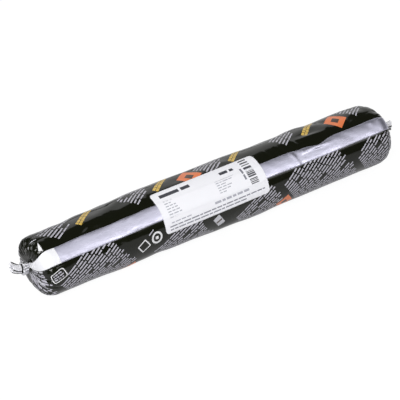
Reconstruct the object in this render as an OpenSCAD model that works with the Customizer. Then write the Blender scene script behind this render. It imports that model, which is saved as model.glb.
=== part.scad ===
// Sausage pack of adhesive sealant: a printed foil tube, filled, gathered and clipped at both ends.
// It lies along X on its own small flat, with the label and the sealing strip towards -Y and up.

/* [Filled body] */
// Diameter of the filled middle, before it sags
body_d = 50; // [45:0.5:55]
// Distance between the two shoulders, where the round body starts to close
shoulder_span = 304; // [260:1:360]
// Width of the flat that the soft pack rests on
rest_w = 14; // [8:0.5:20]
// How much wider than high the resting section has become
sag = 0.6; // [0:0.1:2]
// How much slimmer the radius is at the left shoulder than in the middle
left_taper = 1.4; // [0:0.1:2.5]
// How much slimmer the radius is at the right shoulder than in the middle
right_taper = 0.1; // [0:0.1:2.5]
// Length over which each end slims down
taper_len = 60; // [30:1:70]
// Depth of the slight waist, where the filling is thinner
waist_depth = 0.8; // [0:0.1:1.2]
// Place of the waist along the pack
waist_x = -100; // [-105:1:-95]
// Distance from the waist's middle to each of its ends
waist_reach = 37; // [25:1:42]
// How far the soft body bows to the back on the left, and to the front on the right
body_bow = 0.7; // [0:0.1:1]
// Where the body's bow changes sides
bow_x = -30; // [-50:1:0]

/* [Gathered ends] */
// Height of the left domed end, from its shoulder to its neck
left_dome_h = 12.4; // [9:0.2:18]
// Height of the right domed end, from its shoulder to its neck
right_dome_h = 15; // [9:0.2:18]
// Roundness of the left dome: 2 is an ellipse, and more is blunter
left_fullness = 2.6; // [1.8:0.1:3]
// Roundness of the right dome
right_fullness = 2.3; // [1.8:0.1:3]
// Number of pleats that the film is gathered into, beside the sealing strip
pleat_count = 15; // [10:1:18]
// Depth of the deepest pleats on the dome
pleat_depth = 2.8; // [0.5:0.1:3.3]
// Depth of the creases where they cross the shoulder
crease_depth = 0.5; // [0.2:0.1:1]
// Length of the creases that run from the shoulder into the body
crease_run = 18; // [8:1:30]
// How far the left neck sits above the middle of its shoulder
left_lift = 3.8; // [0:0.2:6]
// How far the right neck sits above the middle of its shoulder
right_lift = 0.5; // [0:0.5:6]
// How far the top of the left end leans outwards, and its bottom inwards
left_lean = 2.5; // [0:0.1:3.5]
// How far the top of the right end leans inwards, and its bottom outwards
right_lean = 1.6; // [0:0.1:3.5]

/* [Neck and tail] */
// Height of the gathered film where the clip holds it
neck_h = 7.4; // [6:0.1:9]
// Thickness of the gathered film where the clip holds it
neck_t = 3; // [2.4:0.1:4]
// Bare neck between the dome and the clip
neck_len = 2; // [0.8:0.1:4]
// Length of the film tail beyond the left clip
left_tail_len = 8.6; // [5:0.2:16]
// Length of the film tail beyond the right clip
right_tail_len = 5.8; // [4:0.2:16]
// How far the left tail bends up
left_tail_rise = 5; // [0:0.5:7]
// Height of the tail's fanned end
tail_h = 8.8; // [8:0.2:14]
// Thickness of the tail's fanned end
tail_t = 5; // [4:0.5:9]
// Share of the tail's length that is hollow between the film edges
tail_hollow = 0.4; // [0.1:0.05:0.6]

/* [Clip] */
// Thickness of the aluminium strip that the clip is bent from
clip_t = 1.7; // [1.2:0.1:2.4]
// Width of that strip, along the pack
clip_w = 4.4; // [3:0.1:7]
// Radius of the strip's rounded edges
clip_edge = 0.5; // [0.3:0.05:0.55]
// Gap left between the tips of the two closed legs
leg_gap = 0.3; // [0.2:0.1:1]
// Distance of each die mark from the middle of the closed side
die_mark_offset = 2.4; // [1.8:0.1:2.8]
// Clearance between the clip and the film that it squeezes
clip_clearance = 0.1; // [0.05:0.05:0.2]

/* [Sealing strip] */
// Width of the strip that closes the tube
strip_w = 12.6; // [8:0.2:16]
// Thickness of the strip
strip_t = 0.25; // [0.15:0.05:0.5]
// Direction of the strip's middle, in degrees up from -Y
strip_turn = 44.8; // [35:0.1:60]
// Width of the strip's point, where it is gathered in at the neck
strip_tip = 3.2; // [2:0.1:4]
// How far the strip's left end turns down as it runs to the neck, in degrees
strip_swing = 24; // [0:1:30]

/* [Label] */
// Length of the label along the pack
label_len = 96; // [60:1:110]
// Width of the label, measured round the pack
label_w = 34; // [28:0.5:40]
// Thickness of the label
label_t = 0.2; // [0.1:0.05:0.4]
// Radius of the label's corners
label_corner = 3; // [1:0.5:5]
// Place of the label's middle along the pack
label_x = -14; // [-20:1:20]
// Direction of the label's middle, in degrees up from -Y
label_turn = 44.3; // [40:0.1:50]
// Tilt of the label against the pack's axis, in degrees
label_tilt = 1.3; // [0:0.1:2]
// Thickness of the adhesive under the label
label_glue = 0.05; // [0.03:0.01:0.1]

/* [Hidden] */

film_black = "#1c1d1a";
foil_silver = "#c6c7d0";
paper_white = "#f4f4f6";
clip_grey = "#d9d9dd";

strip_cells = 8;      // facets across the sealing strip
pleat_cells = 6;      // facets across one pleat
dome_rings = 8;       // steps from the shoulder to the neck
tail_rings = 4;       // steps along the tail
body_rings = 16;      // steps along the plain middle
label_cells = 6;      // facets across the label on each side of the strip
label_steps = 8;      // steps along the label between its corners
corner_cells = 5;     // steps round one corner of the label
deepest_share = 0.42; // deepest that a pleat cuts into a small section
tail_share = 0.55;    // how deep the folds cut into the fanned tail
strip_end_gap = 0.3;  // between the end of the strip and the clip
fine = 48;            // facets of a full turn, for the clip's round bends

ring_cells = strip_cells + pleat_cells * pleat_count;

shoulder_x = shoulder_span / 2;
function dome_h(side) = side < 0 ? left_dome_h : right_dome_h;
function fullness(side) = side < 0 ? left_fullness : right_fullness;
function lean(x) = x < 0 ? left_lean : right_lean;
function tail_len(side) = side < 0 ? left_tail_len : right_tail_len;
function neck_x(side) = shoulder_x + dome_h(side);
function clip_x(side) = neck_x(side) + neck_len;
function tail_x(side) = clip_x(side) + clip_w;

function ease(t) = let (c = max(0, min(1, t))) c * c * (3 - 2 * c);
function flatten(rows) = [for (row = rows) each row];

// Section of the resting body: a slightly wide ellipse, whose lowest slice becomes the flat
function body_r(x) = body_d / 2
    - left_taper * ease((taper_len - shoulder_x - x) / taper_len)
    - right_taper * ease((taper_len - shoulder_x + x) / taper_len)
    - waist_depth * ease(1 - abs(x - waist_x) / waist_reach);
function half_width(x) = body_r(x) + sag / 2;
function half_height(x) = body_r(x) - sag / 2;
function axis_z(x) = half_height(x) * sqrt(1 - pow(rest_w / 2 / half_width(x), 2));
function neck_z(side) = axis_z(side * shoulder_x) + (side < 0 ? left_lift : right_lift);

// Sideways place of the section's middle, back to nothing at both shoulders
function axis_y(x) = x < bow_x
    ? body_bow * sin(180 * max(0, (x + shoulder_x) / (bow_x + shoulder_x)))
    : -body_bow * sin(180 * min(1, (x - bow_x) / (shoulder_x - bow_x)));

// A ring is [x, z of its middle, half width, half height, share that pleats cut away,
// slope of its skin, how far its top leans to the left]
function body_ring(x) =
    let (near_end = 1 - ease((shoulder_x - abs(x)) / crease_run))
    [x, axis_z(x), half_width(x), half_height(x), crease_depth * near_end / body_r(x), 0,
     lean(x) * near_end];

function dome_ring(side, turn) =
    let (shoulder = side * shoulder_x,
         closing = pow(cos(turn), 2 / fullness(side)),
         half_w = neck_t / 2 + (half_width(shoulder) - neck_t / 2) * closing,
         half_h = neck_h / 2 + (half_height(shoulder) - neck_h / 2) * closing,
         depth = crease_depth + pleat_depth * sin(turn))
    [side * (shoulder_x + dome_h(side) * pow(sin(turn), 2 / fullness(side))),
     neck_z(side) + (axis_z(shoulder) - neck_z(side)) * closing,
     half_w, half_h, min(deepest_share, depth / half_h), turn * 0.8, lean(shoulder) * closing];

function neck_ring(side, x) = [side * x, neck_z(side), neck_t / 2, neck_h / 2, deepest_share, 0, 0];

// The tail bends up on the left, and a shorter tail fans out less
function tail_z(side, along) = neck_z(side) + (side < 0 ? left_tail_rise * pow(along, 1.5) : 0);
function tail_ring(side, along) =
    let (open = ease(along * tail_len(side) / left_tail_len))
    [side * (tail_x(side) + tail_len(side) * along), tail_z(side, along),
     neck_t / 2 + (tail_t - neck_t) / 2 * open,
     neck_h / 2 + (tail_h - neck_h) / 2 * open,
     deepest_share + (tail_share - deepest_share) * open, 0, 0];

// One gathered end, from its shoulder outwards
function dome_and_neck(side) = concat(
    [for (i = [0 : dome_rings]) dome_ring(side, 90 * i / dome_rings)],
    [neck_ring(side, clip_x(side) - strip_end_gap)]);
function held_and_tail(side) = concat(
    [neck_ring(side, clip_x(side))],
    [for (i = [0 : tail_rings]) tail_ring(side, i / tail_rings)]);

function reversed(list) = [for (i = [len(list) - 1 : -1 : 0]) list[i]];

plain_x = shoulder_x - crease_run;
body_x = concat(
    [-shoulder_x + crease_run / 3, -shoulder_x + crease_run * 2 / 3],
    [for (i = [0 : body_rings]) -plain_x + 2 * plain_x * i / body_rings],
    [shoulder_x - crease_run * 2 / 3, shoulder_x - crease_run / 3]);

strip_rings = concat(
    reversed(dome_and_neck(-1)),
    [for (x = body_x) body_ring(x)],
    dome_and_neck(1));
all_rings = concat(reversed(held_and_tail(-1)), strip_rings, held_and_tail(1));

// How far a section is from the neck's size, from 0 at a neck to 1 on the body
neck_r = (neck_t + neck_h) / 4;
function mean_r(ring) = (ring[2] + ring[3]) / 2;
function openness(ring) =
    let (shoulder_r = body_r(sign(ring[0]) * shoulder_x))
    max(0, min(1, (mean_r(ring) - neck_r) / (shoulder_r - neck_r)));

// The strip is gathered to a point at the neck, and swings down on the left as it gets there
function strip_angle(ring) =
    (strip_tip + (strip_w - strip_tip) * openness(ring)) / mean_r(ring) * 180 / PI;
function strip_middle(ring) = strip_turn - (ring[0] < 0 ? strip_swing * (1 - openness(ring)) : 0);

// Uneven spacing of the pleats, different at the two ends
function left_shift(t) = 0.015 * sin(720 * t) + 0.009 * sin(1800 * t);
function right_shift(t) = 0.014 * sin(360 * t) - 0.010 * sin(1440 * t);
function pleat_place(t, x) =
    let (k = ease((x + shoulder_x) / shoulder_span)) t + left_shift(t) * (1 - k) + right_shift(t) * k;

function angle_at(cell, ring) =
    let (wide = strip_angle(ring), rest = (cell - strip_cells) / (ring_cells - strip_cells))
    strip_middle(ring) + (cell <= strip_cells
        ? wide * (cell / strip_cells - 0.5)
        : wide / 2 + (360 - wide) * pleat_place(rest, ring[0]));

// Puffed film between sharp valleys: 0 in a valley and 1 on a crest or on the strip
function crest(cell) =
    cell <= strip_cells ? 1 : pow(sin(180 * ((cell - strip_cells) % pleat_cells) / pleat_cells), 0.7);
function pleat_strength(cell, x) =
    0.6 + 0.4 * sin(137 * floor((cell - strip_cells) / pleat_cells) + (x < 0 ? 20 : 200));

function film_point(cell, ring) =
    let (angle = angle_at(cell, ring),
         out = 1 - ring[4] * pleat_strength(cell, ring[0]) * (1 - crest(cell)))
    [ring[0] - ring[6] * out * sin(angle),
     axis_y(ring[0]) - ring[2] * out * cos(angle),
     ring[1] + ring[3] * out * sin(angle)];

// The same point moved outwards, square to the film
function raised_point(cell, ring, height) =
    let (angle = angle_at(cell, ring), side = sign(ring[0]))
    film_point(cell, ring)
        + height * [side * sin(ring[5]), -cos(angle) * cos(ring[5]), sin(angle) * cos(ring[5])];

// Faces of a tube made of rings of the same number of points, closed by a point at each end
module closed_tube(rings, first_tip, last_tip) {
    count = len(rings[0]);
    last = len(rings) - 1;
    points = concat(flatten(rings), [first_tip, last_tip]);
    tip = len(points) - 2;
    sides = [for (i = [0 : last - 1], j = [0 : count - 1])
        let (a = i * count + j, b = a + count, d = i * count + (j + 1) % count, c = d + count)
        each [[a, d, c], [a, c, b]]];
    first_cap = [for (j = [0 : count - 1]) [tip, (j + 1) % count, j]];
    last_cap = [for (j = [0 : count - 1]) [tip + 1, last * count + j, last * count + (j + 1) % count]];
    polyhedron(points, concat(sides, first_cap, last_cap), convexity = 8);
}

// Thin sheet between an inner and an outer grid of points
module sheet(inner, outer) {
    rows = len(inner);
    cols = len(inner[0]);
    size = rows * cols;
    quads = [for (i = [0 : rows - 2], j = [0 : cols - 2])
        let (a = i * cols + j) [a, a + cols, a + cols + 1, a + 1]];
    outer_faces = [for (q = quads) each [[q[0], q[3], q[2]], [q[0], q[2], q[1]]]];
    inner_faces = [for (q = quads) each [[q[0] + size, q[2] + size, q[3] + size],
                                         [q[0] + size, q[1] + size, q[2] + size]]];
    rim = concat(
        [for (j = [0 : cols - 2]) j],
        [for (i = [0 : rows - 2]) i * cols + cols - 1],
        [for (j = [cols - 1 : -1 : 1]) (rows - 1) * cols + j],
        [for (i = [rows - 1 : -1 : 1]) i * cols]);
    count = len(rim);
    walls = [for (k = [0 : count - 1])
        let (a = rim[k], b = rim[(k + 1) % count])
        each [[a, a + size, b + size], [a, b + size, b]]];
    points = concat(flatten(outer), flatten(inner));
    polyhedron(points, concat(outer_faces, inner_faces, walls), convexity = 6);
}

// The filled film tube with its gathered ends, cut flat underneath
module casing() {
    rings = [for (ring = all_rings) [for (cell = [0 : ring_cells - 1]) film_point(cell, ring)]];
    function hollow_tip(side) =
        [side * (tail_x(side) + tail_len(side) * (1 - tail_hollow)), 0, tail_z(side, 1 - tail_hollow)];
    color(film_black) difference() {
        closed_tube(rings, hollow_tip(-1), hollow_tip(1));
        translate([-neck_x(-1), -body_d / 2, -body_d])
            cube([neck_x(-1) + neck_x(1), body_d, body_d]);
    }
}

// The silver strip that closes the tube, bonded to it from neck to neck
module seam_strip() {
    color(foil_silver) sheet(
        [for (ring = strip_rings) [for (cell = [0 : strip_cells]) film_point(cell, ring)]],
        [for (ring = strip_rings) [for (cell = [0 : strip_cells]) raised_point(cell, ring, strip_t)]]);
}

// The paper label, which crosses the strip and steps over its two edges
module label() {
    ring = body_ring(label_x);
    strip_low = strip_turn - strip_angle(ring) / 2;
    strip_high = strip_turn + strip_angle(ring) / 2;
    per_mm = 180 / PI / (body_d / 2);
    slope = tan(label_tilt);
    corner = [for (i = [0 : corner_cells])
        let (turn = 90 * i / corner_cells)
        [label_corner * (1 - cos(turn)), label_corner * (1 - sin(turn))]];
    // Each row is [distance from the label's middle, how far a corner has taken its ends in]
    rows = concat(
        [for (c = corner) [c[0] - label_len / 2, c[1]]],
        [for (i = [1 : label_steps - 1]) [(label_len - 2 * label_corner) * (i / label_steps - 0.5), 0]],
        [for (c = reversed(corner)) [label_len / 2 - c[0], c[1]]]);
    function angles(row) =
        let (middle = label_turn + row[0] * slope * per_mm,
             reach = (label_w / 2 - row[1]) * per_mm)
        concat(
            [for (i = [0 : label_cells - 1])
                middle - reach + (strip_low - middle + reach) * i / label_cells],
            [for (i = [0 : strip_cells]) strip_low + (strip_high - strip_low) * i / strip_cells],
            [for (i = [1 : label_cells])
                strip_high + (middle + reach - strip_high) * i / label_cells]);
    function on_strip(angle) = angle > strip_low - 0.01 && angle < strip_high + 0.01;
    function grid(lift) = [for (row = rows) [for (angle = angles(row))
        let (out = lift + (on_strip(angle) ? strip_t : 0),
             shift = (label_turn - angle) / per_mm * slope)
        [label_x + row[0] + shift,
         axis_y(label_x + row[0] + shift) - (ring[2] + out) * cos(angle),
         ring[1] + (ring[3] + out) * sin(angle)]]];
    color(paper_white) sheet(grid(label_glue), grid(label_glue + label_t));
}

// Section of the clip's strip: a bar with rounded edges, its inner face on the Y axis
module clip_section() {
    translate([clip_edge, 0])
        square([clip_t - 2 * clip_edge, clip_w]);
    translate([0, clip_edge])
        square([clip_t, clip_w - 2 * clip_edge]);
    for (x = [clip_edge, clip_t - clip_edge], y = [clip_edge, clip_w - clip_edge])
        translate([x, y])
            circle(clip_edge, $fn = fine);
}

// A strip clip closed round the neck: a straight back, two round bends and two legs that meet
module clip(side) {
    inner_r = neck_t / 2 + clip_clearance;
    bend_z = neck_h / 2 + clip_clearance - inner_r;
    outer_r = inner_r + clip_t;
    straight = 2 * bend_z;
    color(clip_grey)
    translate([side < 0 ? -tail_x(side) : clip_x(side), 0, neck_z(side)])
    rotate([90, 0, 90])
    difference() {
        union() {
            for (end = [-1, 1])
                translate([0, end * bend_z, 0])
                    rotate([0, 0, end < 0 ? 180 : 0])
                        rotate_extrude(angle = 180, $fn = fine)
                            translate([inner_r, 0]) clip_section();
            for (turn = [0, 180])
                rotate([0, 0, turn])
                    translate([inner_r, bend_z, 0])
                        rotate([90, 0, 0])
                            linear_extrude(straight) clip_section();
        }
        // The gap between the legs, opened to a V on the outside
        translate([-outer_r - 1, -leg_gap / 2, -1])
            cube([clip_t + 1.5, leg_gap, clip_w + 2]);
        translate([-outer_r, 0, -1])
            rotate([0, 0, 45])
                translate([-clip_t / 3, -clip_t / 3, 0])
                    cube([clip_t * 2 / 3, clip_t * 2 / 3, clip_w + 2]);
        // Grooves left by the closing die
        for (z = [-1, 1])
            translate([-outer_r - clip_t / 8, z * die_mark_offset, -1])
                cylinder(h = clip_w + 2, r = clip_t / 3, $fn = fine);
    }
}

module clip_left() {
    clip(-1);
}

module clip_right() {
    clip(1);
}

casing();
seam_strip();
label();
clip_left();
clip_right();
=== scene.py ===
"""Looks of a sealant sausage pack: wrinkled printed film, silver strip, paper label and metal clips."""
import math

import bpy
import numpy as np
from bpy.props import BoolProperty, FloatProperty, FloatVectorProperty, IntProperty, PointerProperty
from bpy.types import Operator, Panel, PropertyGroup
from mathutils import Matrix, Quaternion, Vector


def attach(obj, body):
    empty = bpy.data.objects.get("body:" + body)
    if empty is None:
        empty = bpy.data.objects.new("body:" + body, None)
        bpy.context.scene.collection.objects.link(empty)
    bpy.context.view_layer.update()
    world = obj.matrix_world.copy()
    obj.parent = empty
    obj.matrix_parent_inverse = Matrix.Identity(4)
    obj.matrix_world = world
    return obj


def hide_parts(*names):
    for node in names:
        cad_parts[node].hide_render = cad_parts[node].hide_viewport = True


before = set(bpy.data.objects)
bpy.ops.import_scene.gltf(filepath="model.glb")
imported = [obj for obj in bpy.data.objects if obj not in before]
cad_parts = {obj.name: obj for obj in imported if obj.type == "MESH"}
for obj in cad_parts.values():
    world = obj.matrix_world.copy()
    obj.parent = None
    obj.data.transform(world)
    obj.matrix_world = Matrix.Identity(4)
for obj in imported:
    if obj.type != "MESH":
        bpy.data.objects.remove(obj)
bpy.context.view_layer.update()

bl_info = {
    "name": "Sealant sausage pack",
    "version": (1, 0, 0),
    "blender": (4, 5, 0),
    "location": "3D View > Sidebar > Sausage",
    "description": "Builds the film, strip, label, clips and studio of a sealant sausage pack",
    "category": "Add Mesh",
}

MM = 0.001

# The resting pack, in millimetres, as in the CAD source
BODY_D = 50.0
SHOULDER = 152.0
REST_W = 14.0
SAG = 0.6
LEFT_TAPER = 1.4
RIGHT_TAPER = 0.1
TAPER_LEN = 60.0
WAIST_DEPTH = 0.8
WAIST_X = -100.0
WAIST_REACH = 37.0
BODY_BOW = 0.7
BOW_X = -30.0
LEFT_DOME_H = 12.4
RIGHT_DOME_H = 15.0
LEFT_FULLNESS = 2.6
RIGHT_FULLNESS = 2.3
PLEATS = 15
PLEAT_DEPTH = 2.8
CREASE_DEPTH = 0.5
CREASE_RUN = 18.0
LEFT_LIFT = 3.8
RIGHT_LIFT = 0.5
LEFT_LEAN = 2.5
RIGHT_LEAN = 1.6
NECK_H = 7.4
NECK_T = 3.0
NECK_LEN = 2.0
LEFT_TAIL = 8.6
RIGHT_TAIL = 5.8
TAIL_RISE = 5.0
TAIL_H = 8.8
TAIL_T = 5.0
CLIP_T = 1.7
CLIP_W = 4.4
CLIP_EDGE = 0.5
LEG_GAP = 0.3
DIE_MARK = 2.4
CLIP_CLEARANCE = 0.1
STRIP_W = 12.6
STRIP_T = 0.25
STRIP_TURN = 44.8
STRIP_TIP = 3.2
STRIP_SWING = 24.0
LABEL_LEN = 96.0
LABEL_W = 34.0
LABEL_T = 0.2
LABEL_CORNER = 3.0
LABEL_X = -14.0
LABEL_TURN = 44.3
LABEL_TILT = 1.3
LABEL_GLUE = 0.05

STRIP_CELLS = 8
PLEAT_CELLS = 6
RING_CELLS = STRIP_CELLS + PLEATS * PLEAT_CELLS
PLAIN = SHOULDER - CREASE_RUN
DOME_PATH = 26.0
NECK_PATH = NECK_LEN + CLIP_W
NECK_R = (NECK_T + NECK_H) / 4
PER_MM = 180 / math.pi / (BODY_D / 2)
STRIP_LOW = STRIP_TURN - STRIP_W / 2 * PER_MM
FILM_W = math.pi * BODY_D - STRIP_W


# How far the strip's left end, painted white as a highlight, reaches, and the part of the left dome with
# gathered print
PAINTED_HIGHLIGHT_X = -149.5
GATHERED_X = -159.0
GATHERED_DOWN = 52.0

# The film's surface

def ease(t):
    """Smooth step from 0 to 1."""
    c = np.clip(t, 0, 1)
    return c * c * (3 - 2 * c)


def body_r(x):
    """Radius of the body before it sags, slimmer towards its ends."""
    return (
        BODY_D / 2
        - LEFT_TAPER * ease((TAPER_LEN - SHOULDER - x) / TAPER_LEN)
        - RIGHT_TAPER * ease((TAPER_LEN - SHOULDER + x) / TAPER_LEN)
        - WAIST_DEPTH * ease(1 - np.abs(x - WAIST_X) / WAIST_REACH)
    )


def axis_z(x):
    """Height of the section's middle, so that its lowest slice is the resting flat."""
    wide, high = body_r(x) + SAG / 2, body_r(x) - SAG / 2
    return high * np.sqrt(1 - (REST_W / 2 / wide) ** 2)


def axis_y(x):
    """Sideways place of the section's middle: back on the left, forward on the right, 0 at both shoulders."""
    left = np.sin(math.pi * np.clip((x + SHOULDER) / (BOW_X + SHOULDER), 0, 1))
    right = np.sin(math.pi * np.clip((x - BOW_X) / (SHOULDER - BOW_X), 0, 1))
    return BODY_BOW * np.where(x < BOW_X, left, -right)


def ring(place):
    """The film's section at a place along its skin, in millimetres from the pack's middle."""
    place = np.asarray(place, float)
    side = np.where(place < 0, -1.0, 1.0)
    dome_h = np.where(place < 0, LEFT_DOME_H, RIGHT_DOME_H)
    fullness = np.where(place < 0, LEFT_FULLNESS, RIGHT_FULLNESS)
    tail_len = np.where(place < 0, LEFT_TAIL, RIGHT_TAIL)
    full_lean = np.where(place < 0, LEFT_LEAN, RIGHT_LEAN)
    far = np.abs(place)
    x_body = np.minimum(far, SHOULDER)
    over = np.clip((far - SHOULDER) / DOME_PATH, 0, 1)
    turn = over * math.pi / 2
    neck = np.clip(far - SHOULDER - DOME_PATH, 0, NECK_PATH)
    tail = np.clip((far - SHOULDER - DOME_PATH - NECK_PATH) / tail_len, 0, 1)
    closing = np.cos(turn) ** (2 / fullness)
    closing = np.where(over >= 1, 0.0, closing)
    fan = ease(tail * tail_len / LEFT_TAIL)
    radius = body_r(side * x_body)
    wide = NECK_T / 2 + (radius + SAG / 2 - NECK_T / 2) * closing + (TAIL_T - NECK_T) / 2 * fan
    high = NECK_H / 2 + (radius - SAG / 2 - NECK_H / 2) * closing + (TAIL_H - NECK_H) / 2 * fan
    neck_z = axis_z(side * SHOULDER) + np.where(side < 0, LEFT_LIFT, RIGHT_LIFT)
    near_end = 1 - ease((SHOULDER - x_body) / CREASE_RUN)
    depth = CREASE_DEPTH * near_end + PLEAT_DEPTH * np.sin(turn)
    rise = np.where(place < 0, TAIL_RISE * tail**1.5, 0.0)
    return {
        "side": side,
        "x": side * (x_body + dome_h * np.sin(turn) ** (2 / fullness) + neck + tail * tail_len),
        "z": neck_z + (axis_z(side * x_body) - neck_z) * closing + rise,
        "wide": wide,
        "high": high,
        "share": np.minimum(0.42 + 0.13 * fan, depth / high),
        "lean": full_lean * near_end * closing,
        "open": np.clip(((wide + high) / 2 - NECK_R) / (body_r(side * SHOULDER) - NECK_R), 0, 1),
        "slope": np.where(over < 1, turn * 0.8, 0.0),
        "over": over,
        "tail": tail,
    }


def pleat_place(t, x):
    """Uneven spacing of the pleats, different at the two ends."""
    k = ease((x + SHOULDER) / (2 * SHOULDER))
    turn = 2 * math.pi * t
    left = 0.015 * np.sin(2 * turn) + 0.009 * np.sin(5 * turn)
    right = 0.014 * np.sin(turn) - 0.010 * np.sin(4 * turn)
    return t + left * (1 - k) + right * k


def angle_at(cell, r):
    """Direction in degrees, up from -Y, of a cell of the film in a section."""
    width = STRIP_TIP + (STRIP_W - STRIP_TIP) * r["open"]
    spread = width / ((r["wide"] + r["high"]) / 2) * 180 / math.pi
    middle = STRIP_TURN - np.where(r["side"] < 0, STRIP_SWING * (1 - r["open"]), 0.0)
    rest = (cell - STRIP_CELLS) / (RING_CELLS - STRIP_CELLS)
    on_strip = spread * (cell / STRIP_CELLS - 0.5)
    on_film = spread / 2 + (360 - spread) * pleat_place(rest, r["x"])
    return middle + np.where(cell <= STRIP_CELLS, on_strip, on_film)


# Creases and swells of the full film: place, direction and run in degrees, half length, half width, height
CREASES = (
    (-109, 79, 4, 16, 6.5, 0.85),
    (-96, 66, -34, 8, 1.6, 0.30),
    (-122, 64, 28, 7, 1.5, -0.28),
    (-132, 92, 30, 12, 4.0, -0.55),
    (-127, 127, 0, 9, 9.0, -1.05),
    (-146, 70, -50, 8, 1.8, -0.35),
    (-84, 90, 18, 14, 3.6, -0.45),
    (-66, 78, -30, 9, 2.0, 0.30),
    (46, 70, 104, 5, 1.3, 0.34),
    (59, 70, 108, 5, 1.3, 0.38),
    (87, 127, 6, 13, 9.0, 1.60),
    (136, 127, 0, 15, 9.0, 0.70),
    (-96, -50, 0, 14, 12.0, 0.95),
    (-63, -50, 0, 8, 12.0, -0.70),
    (20, 128, 0, 26, 12.0, 0.65),
    (20, -50, 0, 28, 12.0, 0.80),
    (73, 72, 102, 7, 1.7, 0.50),
    (33, 68, 70, 4, 1.3, 0.22),
    (80, 66, 8, 7, 1.5, -0.30),
    (90, 79, -4, 12, 1.8, 0.50),
    (92, 90, 6, 14, 3.4, -0.60),
    (104, 72, 38, 8, 1.6, -0.32),
    (112, 98, -40, 14, 3.6, -0.45),
    (128, 70, 20, 9, 1.8, 0.24),
    (142, 90, -14, 9, 3.6, 0.55),
    (-20, 104, 10, 26, 4.0, -0.35),
    (10, 96, -24, 16, 3.0, 0.30),
    (-96, 8, -60, 12, 2.0, -0.16),
    (-40, -8, -35, 20, 3.2, -0.18),
    (58, -12, 50, 18, 3.0, -0.18),
    (118, -18, -42, 16, 2.6, -0.22),
    (-130, -24, 48, 14, 2.8, -0.22),
    (-70, 150, 30, 24, 3.6, -0.50),
    (-24, 172, -50, 18, 2.6, 0.36),
    (36, 138, -25, 28, 3.8, -0.46),
    (104, 164, 40, 22, 3.0, -0.48),
    (-118, 196, -32, 20, 3.2, -0.46),
    (-12, 205, 18, 30, 4.0, -0.40),
    (76, 222, -45, 18, 3.0, -0.38),
)


def ridged(u):
    """A wave with broad hollows and narrow crests, as pressed film takes, about its own middle."""
    middle = 0.36
    return middle - np.abs(np.sin(u)) ** 0.8 + 0.28 * np.sin(2 * u) ** 2


def wrinkle(x, angle):
    """Outward wrinkling of the filled film in millimetres, kept off the label's place."""
    around = np.radians(angle)
    warp = 1.3 * np.sin(x / 29.0) + 0.8 * np.sin(2 * around + x / 41.0)
    out = 0.06 * np.sin(x / 5.3 + 1.7 * np.sin(around * 2) + 0.4) * np.sin(x / 37.0 + 2 * around)
    out += 0.14 * np.sin(x / 8.7 - 3 * around + 1.1 + warp)
    out += 0.10 * np.sin(x / 13.1 + 4 * around + 2.3 + np.sin(x / 21.0))
    out += 0.015 * np.sin(x / 2.9 + 9 * around) * np.sin(x / 17.0 - 3 * around)
    rough = 0.25 + 0.75 * ease((((angle - 40) % 360) - 18) / 20) * ease((305 - ((angle - 40) % 360)) / 50)
    out += 0.22 * rough * ridged(x / 17.0 - 2 * around + warp)
    out += 0.14 * rough * ridged(x / 11.0 + 3 * around + 1.9 + 1.1 * np.sin(x / 33.0 + around))
    for x0, a0, run, half, width, depth in CREASES:
        across = ((angle - a0 + 180) % 360 - 180) / PER_MM
        c, s = math.cos(math.radians(run)), math.sin(math.radians(run))
        u = (x - x0) * c + across * s
        v = (-(x - x0) * s + across * c) / width
        shape = np.exp(-((u / half) ** 2) - v * v) - 0.45 * np.exp(-((u / half) ** 2) - (v - 1.6) ** 2)
        out += depth * shape
    label_side = np.abs(((angle - LABEL_TURN + 180) % 360 - 180)) / PER_MM
    off_label = np.maximum(
        ease((np.abs(x - LABEL_X) - LABEL_LEN / 2) / 8), ease((label_side - LABEL_W / 2) / 5)
    )
    strip_side = np.abs(((angle - STRIP_TURN + 180) % 360 - 180)) / PER_MM
    off_strip = 0.2 + 0.8 * ease((strip_side - STRIP_W / 2 - 0.8) / 4)
    return out * off_label * off_strip * ease((SHOULDER + 6 - np.abs(x)) / 12)


def crest(cell):
    """0 in a pleat's valley and 1 on its crest or on the strip."""
    frac = ((cell - STRIP_CELLS) % PLEAT_CELLS) / PLEAT_CELLS
    puffed = np.abs(np.sin(math.pi * frac)) ** 0.7
    return np.where(cell <= STRIP_CELLS, 1.0, puffed)


def pleat_strength(cell, x):
    """Each pleat is as deep as its own number says."""
    number = np.floor((cell - STRIP_CELLS) / PLEAT_CELLS)
    return 0.6 + 0.4 * np.sin(np.radians(137 * number + np.where(x < 0, 20, 200)))


def fine_folds(cell, r):
    """Small folds between the pleats, which start on the dome and grow towards the neck."""
    t = (cell - STRIP_CELLS) / PLEAT_CELLS
    fold = np.abs(np.sin(math.pi * (2 * t + 0.21 * np.sin(2.3 * t)))) - 0.64
    fold = fold + 0.6 * (np.abs(np.sin(math.pi * (3.5 * t + 0.4 + 0.3 * np.sin(1.7 * t)))) - 0.64)
    on_film = ease(np.minimum(cell - STRIP_CELLS, RING_CELLS - cell) / 2)
    grow = ease((r["over"] - 0.05) / 0.7)
    return np.where(cell <= STRIP_CELLS, 0.0, fold * on_film * grow)


def place_points(r, angle, out, push, lift):
    """Points of a section in millimetres: drawn in by out, pushed along the radius, lifted off the skin."""
    c, s = np.cos(np.radians(angle)), np.sin(np.radians(angle))
    tip = r["slope"]
    x = r["x"] - r["lean"] * out * s + lift * r["side"] * np.sin(tip)
    y = axis_y(r["x"]) - (r["wide"] * out + push + lift * np.cos(tip)) * c
    z = r["z"] + (r["high"] * out + push + lift * np.cos(tip)) * s
    z = np.where(np.abs(r["x"]) < SHOULDER + LEFT_DOME_H, np.maximum(z, 0.0), z)
    return np.stack([x, y, z], -1)


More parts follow.
